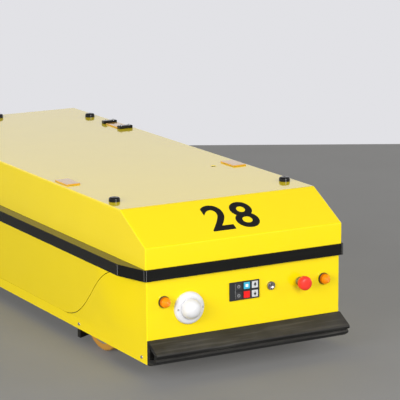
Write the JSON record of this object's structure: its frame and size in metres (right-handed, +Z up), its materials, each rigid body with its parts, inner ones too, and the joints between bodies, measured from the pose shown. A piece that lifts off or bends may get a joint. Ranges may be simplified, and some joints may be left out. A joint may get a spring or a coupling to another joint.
{
  "type": "automated guided vehicle",
  "caption": "Low yellow automated guided vehicle with a flat load deck, sloped ends, a black rubbing strip, rubber bumpers, drive wheels and swivel casters.",
  "frame": {"origin": "on the floor under the middle of the vehicle", "axes": "+X forward, +Y to the vehicle's left, +Z up"},
  "size_m": [1.966, 0.688, 0.454],
  "materials": {
    "yellow_paint": "gloss",
    "black_rubber": "satin",
    "black_plastic": "gloss",
    "dark_steel": "satin",
    "light_metal": "satin",
    "tyre_polyurethane": "satin",
    "battery_case": "matte",
    "orange_pad": "satin",
    "red_plastic": "gloss",
    "amber_lens": "gloss",
    "white_plastic": "gloss",
    "key_caps": "satin",
    "chrome": "polished"
  },
  "bodies": {
    "chassis": {"deck_plate": "yellow_paint", "hood_front": "yellow_paint", "hood_rear": "yellow_paint", "hood_side_right": "yellow_paint", "hood_side_left": "yellow_paint", "rim_front": "black_plastic", "rim_rear": "black_plastic", "rim_right": "black_plastic", "rim_left": "black_plastic", "rubbing_strip": "black_rubber", "front_panel": "yellow_paint", "rear_panel": "yellow_paint", "side_panel_right": "yellow_paint", "side_panel_left": "yellow_paint", "side_door_right": "yellow_paint", "side_door_left": "yellow_paint", "bumper_front": "black_rubber", "bumper_rear": "black_rubber", "rail_right": "dark_steel", "rail_left": "dark_steel", "cross_members": "dark_steel", "battery_tray": "dark_steel", "battery": "battery_case", "drive_unit_right": "dark_steel", "drive_unit_left": "dark_steel", "foot_guards": "black_rubber", "caster_plate_right": "light_metal", "caster_plate_left": "light_metal", "deck_buffers": "black_plastic", "load_pads": "orange_pad", "stop_blocks": "black_plastic", "stop_collars": "light_metal", "stop_heads": "red_plastic", "lamp_bezels": "black_plastic", "lamp_lenses": "amber_lens", "sounder_flange": "white_plastic", "sounder_dome": "white_plastic", "control_plate": "black_plastic", "control_keys": "key_caps", "key_switch": "chrome"},
    "drive_wheel_right": {"drive_hub_right": "light_metal", "drive_tyre_right": "tyre_polyurethane"},
    "drive_wheel_left": {"drive_hub_left": "light_metal", "drive_tyre_left": "tyre_polyurethane"},
    "caster_swivel_right": {"caster_fork_right": "light_metal"},
    "caster_swivel_left": {"caster_fork_left": "light_metal"},
    "caster_wheel_right": {"caster_hub_right": "light_metal", "caster_tyre_right": "tyre_polyurethane"},
    "caster_wheel_left": {"caster_hub_left": "light_metal", "caster_tyre_left": "tyre_polyurethane"}
  },
  "joints": [
    {"name": "drive_spin_right", "type": "hinge", "parent": "chassis", "child": "drive_wheel_right", "pos_m": [0.605, -0.258, 0.12], "axis": [0, 1, 0], "continuous": true},
    {"name": "caster_swivel_right", "type": "hinge", "parent": "chassis", "child": "caster_swivel_right", "pos_m": [-0.64, -0.16, 0.19], "axis": [0, 0, 1], "continuous": true},
    {"name": "caster_spin_right", "type": "hinge", "parent": "caster_swivel_right", "child": "caster_wheel_right", "pos_m": [-0.69, -0.16, 0.08], "axis": [0, 1, 0], "continuous": true},
    {"name": "drive_spin_left", "type": "hinge", "parent": "chassis", "child": "drive_wheel_left", "pos_m": [0.605, 0.258, 0.12], "axis": [0, 1, 0], "continuous": true},
    {"name": "caster_swivel_left", "type": "hinge", "parent": "chassis", "child": "caster_swivel_left", "pos_m": [-0.64, 0.16, 0.19], "axis": [0, 0, 1], "continuous": true},
    {"name": "caster_spin_left", "type": "hinge", "parent": "caster_swivel_left", "child": "caster_wheel_left", "pos_m": [-0.69, 0.16, 0.08], "axis": [0, 1, 0], "continuous": true}
  ]
}
